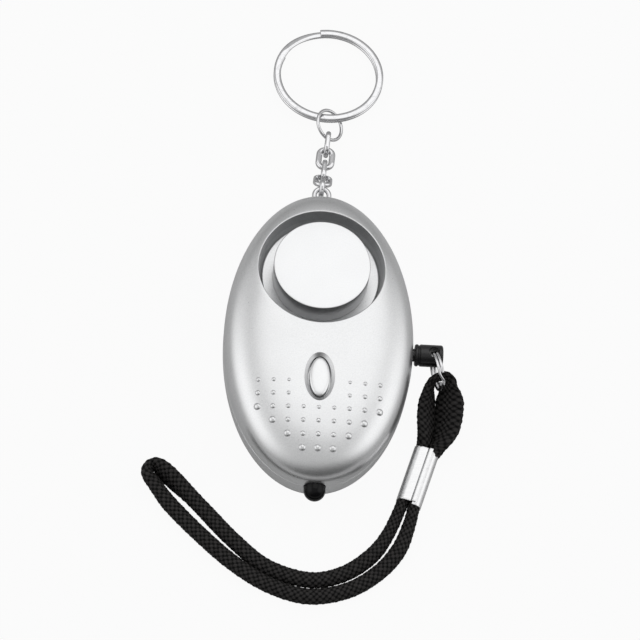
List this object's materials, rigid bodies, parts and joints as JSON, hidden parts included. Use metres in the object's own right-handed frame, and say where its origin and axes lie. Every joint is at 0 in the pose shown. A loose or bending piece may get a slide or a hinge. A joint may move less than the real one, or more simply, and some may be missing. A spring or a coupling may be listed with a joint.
{
  "type": "personal safety alarm",
  "caption": "Egg-shaped personal alarm with a siren in a round recess, a light button, a lamp at the tip, a key ring on a short chain, and a pull pin on a braided wrist strap.",
  "frame": {"origin": "middle of the flat back face", "axes": "+Z out of the front face, +Y towards the key ring, +X towards the pull pin"},
  "size_m": [0.0825, 0.1696, 0.0217],
  "materials": {
    "case_silver": "silver paint with fine grain",
    "cap_silver": "silver paint",
    "lamp_black": "glossy",
    "pin_black": "satin",
    "strap_braid": "braided",
    "sleeve_aluminium": "bright",
    "chain_steel": "polished",
    "screw_steel": "plain",
    "cell_steel": "plain",
    "contact_brass": "plain",
    "ceramic": "silvered ceramic",
    "board_green": "solder mask",
    "chip_black": "moulded",
    "coil_copper": "enamelled",
    "capacitor_blue": "sleeved",
    "guide_grey": "moulded"
  },
  "bodies": {
    "case": {"front_shell": "case_silver", "back_shell": "case_silver", "siren_cap": "cap_silver", "led_lamp": "lamp_black", "case_screws": "screw_steel", "chain_bail": "chain_steel", "piezo_plate": "contact_brass", "piezo_ceramic": "ceramic", "circuit_board": "board_green", "board_screws": "screw_steel", "siren_chip": "chip_black", "step_up_coil": "coil_copper", "storage_capacitor": "capacitor_blue", "board_resistors": "chip_black", "pin_guide": "guide_grey", "contact_leaf_front": "contact_brass", "contact_leaf_rear": "contact_brass", "button_cells": "cell_steel", "cell_contacts": "contact_brass", "tact_switch": "chip_black"},
    "button": {"light_button": "cap_silver", "switch_plunger": "chip_black"},
    "pin": {"pull_pin": "pin_black"},
    "strap": {"pin_ring": "chain_steel", "crimp_sleeve": "sleeve_aluminium", "wrist_strap": "strap_braid"},
    "link_1": {"chain_link_1": "chain_steel"},
    "link_2": {"chain_link_2": "chain_steel"},
    "link_3": {"chain_link_3": "chain_steel"},
    "link_4": {"chain_link_4": "chain_steel"},
    "link_5": {"chain_link_5": "chain_steel"},
    "jump": {"jump_ring": "chain_steel"},
    "keys": {"key_ring": "chain_steel"}
  },
  "joints": [
    {"name": "button_press", "type": "slide", "parent": "case", "child": "button", "axis": [0, 0, -1], "range_m": [0, 0.0006], "stiffness_N_per_m": 800, "springref_m": -0.0006},
    {"name": "pin_pull", "type": "slide", "parent": "case", "child": "pin", "axis": [1, 0, 0], "range_m": [0, 0.018]},
    {"name": "strap_swing", "type": "hinge", "parent": "pin", "child": "strap", "pos_m": [0.0302, -0.0026, 0.011], "axis": [0, 0, 1], "range_deg": [0, 75]},
    {"name": "link_1_pitch", "type": "hinge", "parent": "case", "child": "link_1", "pos_m": [0, 0.04505, 0.011], "axis": [0.9959, -0.0906, 0], "range_deg": [-20, 35]},
    {"name": "link_2_yaw", "type": "hinge", "parent": "link_1", "child": "link_2", "pos_m": [0.00032, 0.0486, 0.00774], "axis": [0.0612, 0.6722, 0.7378], "range_deg": [-20, 20]},
    {"name": "link_3_pitch", "type": "hinge", "parent": "link_2", "child": "link_3", "pos_m": [0.00064, 0.05211, 0.00451], "axis": [0.9959, -0.0906, 0], "range_deg": [-15, 25]},
    {"name": "link_4_yaw", "type": "hinge", "parent": "link_3", "child": "link_4", "pos_m": [0.00107, 0.05682, 0.00381], "axis": [0.0134, 0.1472, 0.989], "range_deg": [-20, 20]},
    {"name": "link_5_pitch", "type": "hinge", "parent": "link_4", "child": "link_5", "pos_m": [0.0015, 0.06153, 0.0031], "axis": [0.9959, -0.0906, 0], "range_deg": [-10, 25]},
    {"name": "jump_yaw", "type": "hinge", "parent": "link_5", "child": "jump", "pos_m": [0.00193, 0.06629, 0.0031], "axis": [0, 0, 1], "range_deg": [-20, 20]},
    {"name": "key_ring_lift", "type": "hinge", "parent": "jump", "child": "keys", "pos_m": [0.00239, 0.07135, 0.0032], "axis": [0.9984, 0.0558, 0], "range_deg": [0, 60]}
  ]
}
